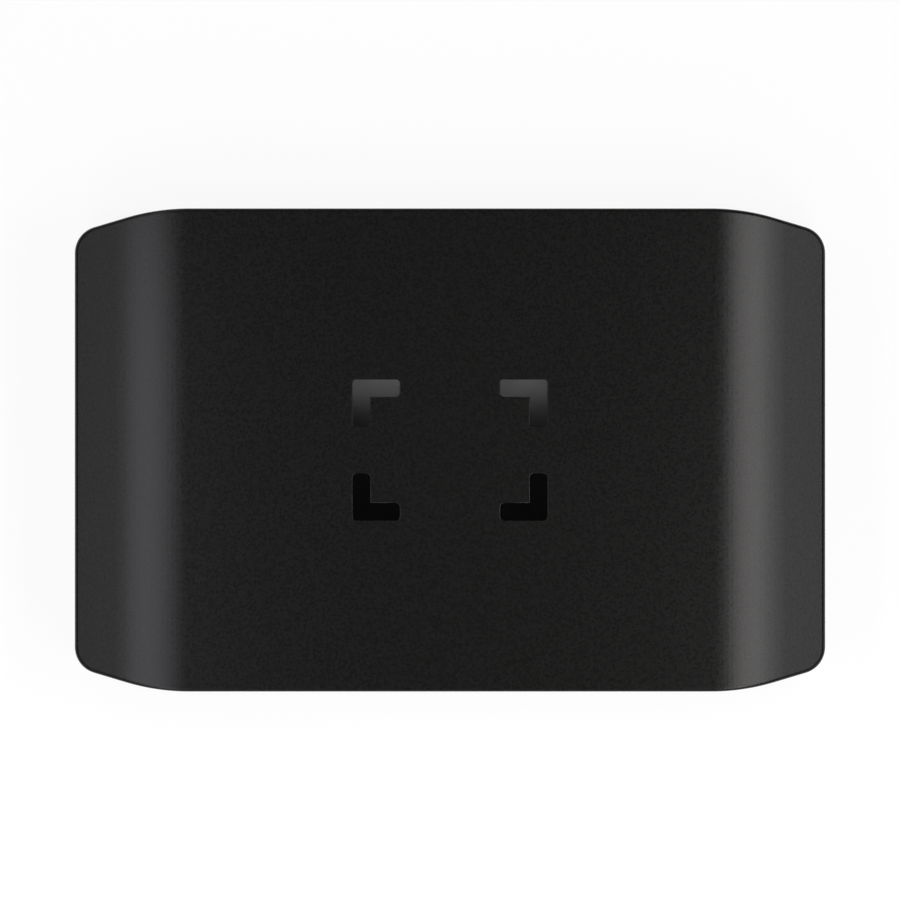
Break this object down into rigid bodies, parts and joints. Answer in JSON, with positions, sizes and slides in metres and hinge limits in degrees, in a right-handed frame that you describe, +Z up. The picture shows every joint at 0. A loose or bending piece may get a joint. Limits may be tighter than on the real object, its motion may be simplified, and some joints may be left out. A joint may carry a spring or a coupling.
{
  "type": "video capture box",
  "caption": "Flat black video capture box: a two-part moulded case with tapered ends, socket panels at front and rear, a rubber foot pad and a populated circuit board inside.",
  "frame": {"origin": "middle of the foot pad's underside, on the surface that the box stands on", "axes": "+X to the right seen from the front, +Y to the rear with the video sockets, +Z up"},
  "size_m": [0.112, 0.072, 0.018],
  "materials": {
    "case_plastic": "black moulding with a fine, even matte grain",
    "panel_gloss": "smooth glossy black",
    "foot_rubber": "dull black with a fine tooth",
    "board_laminate": "dark green solder mask, satin",
    "socket_steel": "nickel-plated sheet",
    "socket_plastic": "black heat-proof moulding",
    "contact_gold": "gold flash",
    "light_guide": "milky clear moulding",
    "led_resin": "pale resin",
    "chip_resin": "moulded epoxy",
    "inductor_iron": "pressed iron powder",
    "can_metal": "drawn can, satin",
    "capacitor_ceramic": "fired ceramic with tinned ends",
    "spreader_alloy": "extruded, bare",
    "thermal_silicone": "soft gap filler",
    "spacer_brass": "turned",
    "screw_steel": "zinc-plated"
  },
  "bodies": {
    "root": {"upper_shell": "case_plastic", "lower_shell": "case_plastic", "front_panel": "panel_gloss", "rear_panel": "panel_gloss", "foot_pad": "foot_rubber", "main_board": "board_laminate", "video_in_shell": "socket_steel", "video_out_shell": "socket_steel", "data_socket_shell": "socket_steel", "video_in_insulator": "socket_plastic", "video_out_insulator": "socket_plastic", "data_socket_insulator": "socket_plastic", "sound_jack_housing": "socket_plastic", "video_in_contacts": "contact_gold", "video_out_contacts": "contact_gold", "data_socket_contacts": "contact_gold", "sound_jack_springs": "contact_gold", "light_pipe": "light_guide", "status_leds": "led_resin", "video_processor": "chip_resin", "video_receiver": "chip_resin", "video_driver": "chip_resin", "data_bridge": "chip_resin", "memory_chips": "chip_resin", "flash_chips": "chip_resin", "sound_converter": "chip_resin", "power_regulators": "chip_resin", "surge_guards": "chip_resin", "chip_resistors": "chip_resin", "power_inductors": "inductor_iron", "polymer_capacitors": "can_metal", "clock_crystals": "can_metal", "ceramic_capacitors": "capacitor_ceramic", "heat_spreader": "spreader_alloy", "thermal_pads": "thermal_silicone", "spreader_spacers": "spacer_brass", "spreader_screws": "screw_steel", "board_screws": "screw_steel", "case_screws": "screw_steel"}
  },
  "joints": []
}
